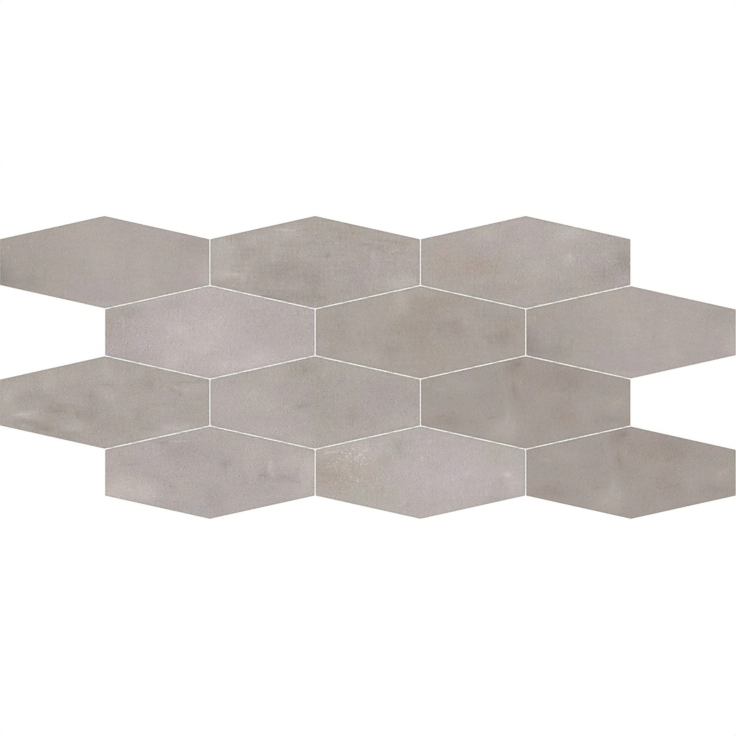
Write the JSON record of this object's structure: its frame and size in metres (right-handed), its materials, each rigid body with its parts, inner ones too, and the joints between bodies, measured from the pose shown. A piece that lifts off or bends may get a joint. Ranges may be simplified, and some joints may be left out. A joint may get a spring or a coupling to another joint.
{
  "type": "mosaic tile sheet",
  "caption": "Mosaic sheet of elongated hexagonal porcelain tiles in offset rows with open joints, bonded to a mesh backing, for tiling floors and walls.",
  "frame": {"origin": "centre of the sheet's plan, on the surface that it lies on, at the underside of the backing mesh", "axes": "+X along the rows of tiles, +Y across the rows towards row 1, +Z out of the tiles' face"},
  "size_m": [0.7338, 0.302, 0.009],
  "materials": {
    "porcelain_greige": "matte",
    "porcelain_mauve": "matte",
    "porcelain_taupe": "matte",
    "fibreglass_mesh": "matte"
  },
  "bodies": {
    "root": {"tile_row1_col1": "porcelain_greige", "tile_row1_col2": "porcelain_greige", "tile_row1_col3": "porcelain_greige", "tile_row2_col1": "porcelain_mauve", "tile_row2_col2": "porcelain_taupe", "tile_row2_col3": "porcelain_greige", "tile_row3_col1": "porcelain_greige", "tile_row3_col2": "porcelain_greige", "tile_row3_col3": "porcelain_taupe", "tile_row4_col1": "porcelain_mauve", "tile_row4_col2": "porcelain_mauve", "tile_row4_col3": "porcelain_taupe", "backing_mesh": "fibreglass_mesh"}
  },
  "joints": []
}
